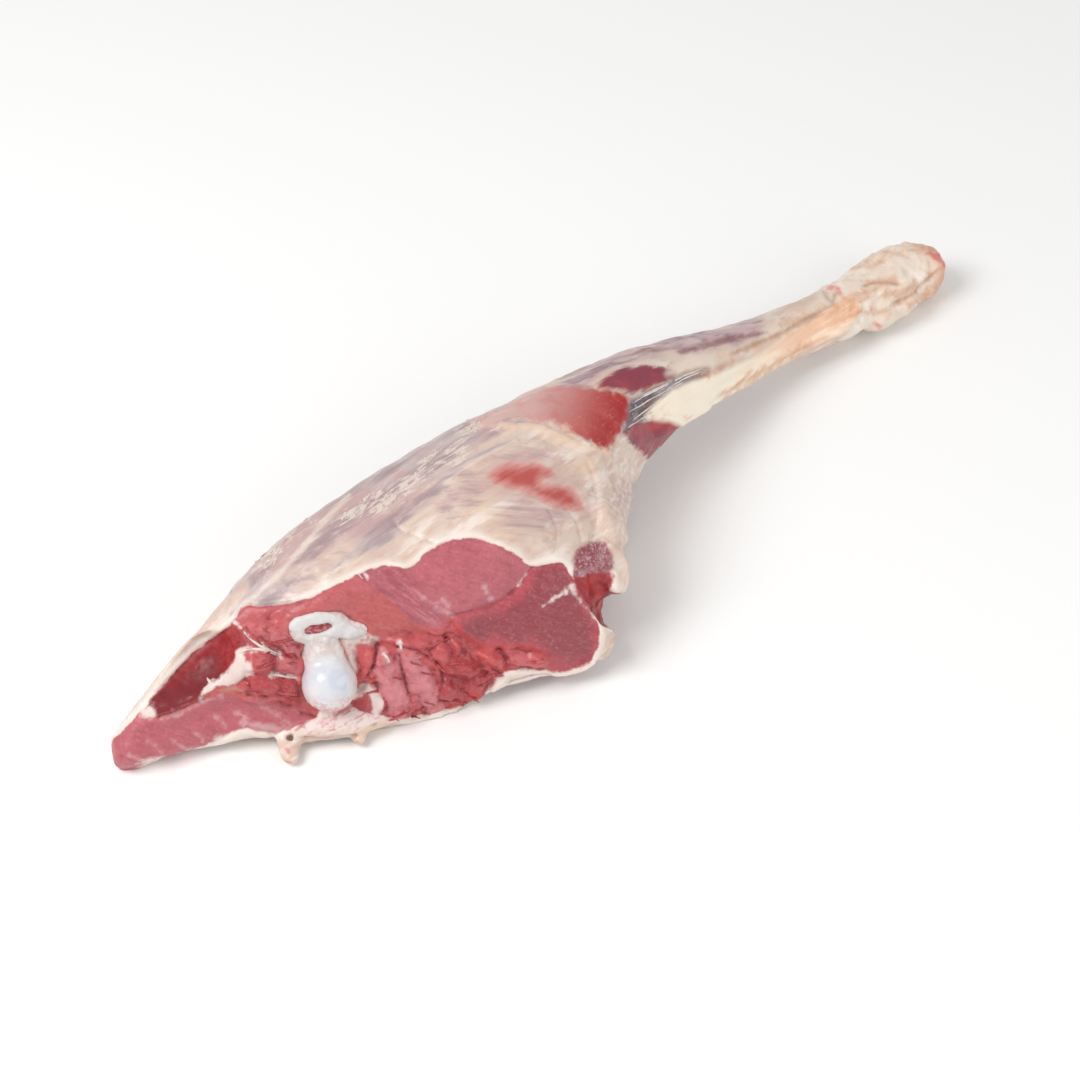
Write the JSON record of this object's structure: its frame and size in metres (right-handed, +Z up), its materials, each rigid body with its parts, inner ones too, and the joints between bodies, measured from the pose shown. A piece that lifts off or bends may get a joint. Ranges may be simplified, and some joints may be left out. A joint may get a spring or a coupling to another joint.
{
  "type": "raw goat leg",
  "caption": "Raw leg of goat lying on its side: cut thigh with the femur's ball and sawn marrow ring, a fat-covered skin side, and a shank narrowing to the hock.",
  "frame": {"origin": "middle of the leg's bounding box, on the surface it lies on", "axes": "+X along the leg from the cut hip end to the hock, +Y away from the side that shows the cut face, +Z up"},
  "size_m": [0.517, 0.1228, 0.0904],
  "materials": {
    "meat": "moist raw meat under cream fat and thin membrane",
    "bone": "wet white bone and bluish gristle",
    "marrow": "moist dark red marrow"
  },
  "bodies": {
    "root": {"leg_meat": "meat", "femur": "bone", "marrow": "marrow"}
  },
  "joints": []
}
